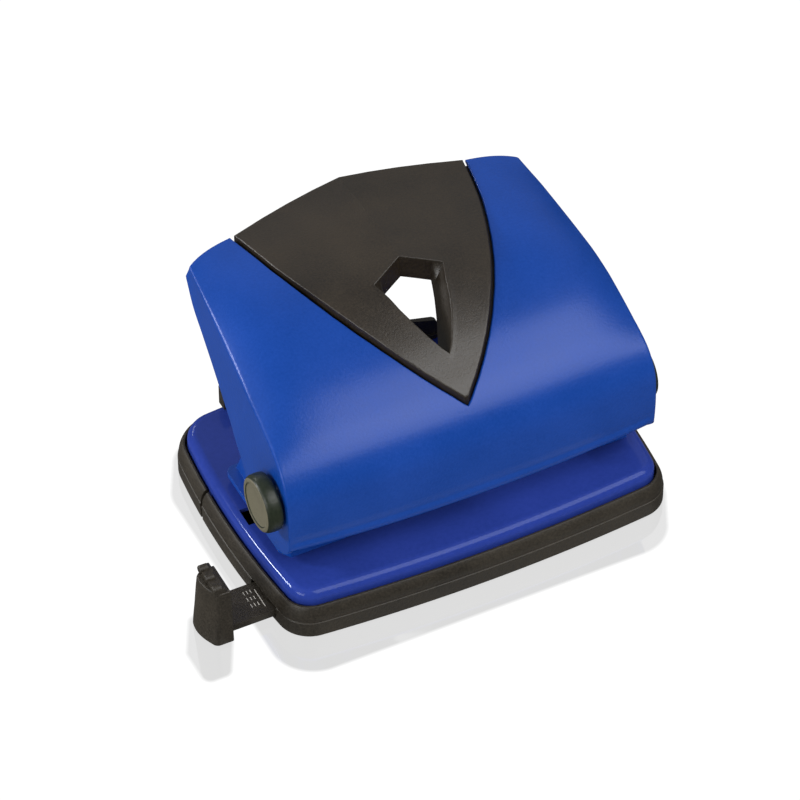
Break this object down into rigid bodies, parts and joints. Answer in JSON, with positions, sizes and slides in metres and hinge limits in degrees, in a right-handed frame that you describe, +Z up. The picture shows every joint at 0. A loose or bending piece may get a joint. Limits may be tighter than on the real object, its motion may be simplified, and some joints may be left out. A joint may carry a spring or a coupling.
{
  "type": "two hole punch",
  "caption": "Desktop office hole punch with a pressed steel lever handle, a plastic insert, a chip tray and a sliding paper guide.",
  "frame": {"origin": "centre of the base's footprint, on its flat underside", "axes": "+X to the right along the row of holes, +Y to the rear, away from the paper, +Z up"},
  "size_m": [0.1326, 0.0872, 0.0702],
  "materials": {
    "blue_paint": "satin blue enamel on steel sheet",
    "gloss_paint": "gloss blue enamel on steel sheet",
    "black_plastic": "fine-textured black",
    "insert_plastic": "spark-textured warm black",
    "cap_plastic": "smooth dark grey",
    "steel": "ground steel",
    "spring_steel": "drawn spring wire and strip"
  },
  "bodies": {
    "base": {"base_frame": "black_plastic", "tray_hinge_rod": "steel", "tray_latch": "black_plastic", "base_plate": "gloss_paint", "axle": "steel", "guide_leaf": "spring_steel", "die_plate_left": "steel", "die_plate_right": "steel", "punch_bracket_left": "gloss_paint", "punch_bracket_right": "gloss_paint", "rivet_left_1": "steel", "rivet_left_2": "steel", "rivet_right_1": "steel", "rivet_right_2": "steel", "return_spring_left": "spring_steel", "return_spring_right": "spring_steel", "axle_cap_left": "cap_plastic", "axle_cap_right": "cap_plastic"},
    "handle": {"handle_shell": "blue_paint", "handle_insert": "insert_plastic", "press_plate": "steel"},
    "punch_left": {"punch_pin_left": "steel", "pin_collar_left": "steel"},
    "punch_right": {"punch_pin_right": "steel", "pin_collar_right": "steel"},
    "tray_door": {"chip_tray_door": "black_plastic"},
    "guide": {"paper_guide": "black_plastic"}
  },
  "joints": [
    {"name": "handle_press", "type": "hinge", "parent": "base", "child": "handle", "pos_m": [0, -0.0229, 0.0368], "axis": [-1, 0, 0], "range_deg": [0, 20], "stiffness_Nm_per_rad": 0.6, "springref_deg": -20.05},
    {"name": "punch_left_slide", "type": "slide", "parent": "base", "child": "punch_left", "axis": [0, 0, -1], "range_m": [0, 0.0082], "deforming": ["return_spring_left"]},
    {"name": "punch_right_slide", "type": "slide", "parent": "base", "child": "punch_right", "axis": [0, 0, -1], "range_m": [0, 0.0082], "deforming": ["return_spring_right"]},
    {"name": "guide_slide", "type": "slide", "parent": "base", "child": "guide", "axis": [-1, 0, 0], "range_m": [-0.0105, 0.08]},
    {"name": "tray_door_hinge", "type": "hinge", "parent": "base", "child": "tray_door", "pos_m": [0, -0.0126, 0.002], "axis": [-1, 0, 0], "range_deg": [0, 75]}
  ],
  "couplings": [
    {"joint": "punch_left_slide", "follows": "handle_press", "m_per_rad": 0.0226},
    {"joint": "punch_right_slide", "follows": "handle_press", "m_per_rad": 0.0226}
  ]
}
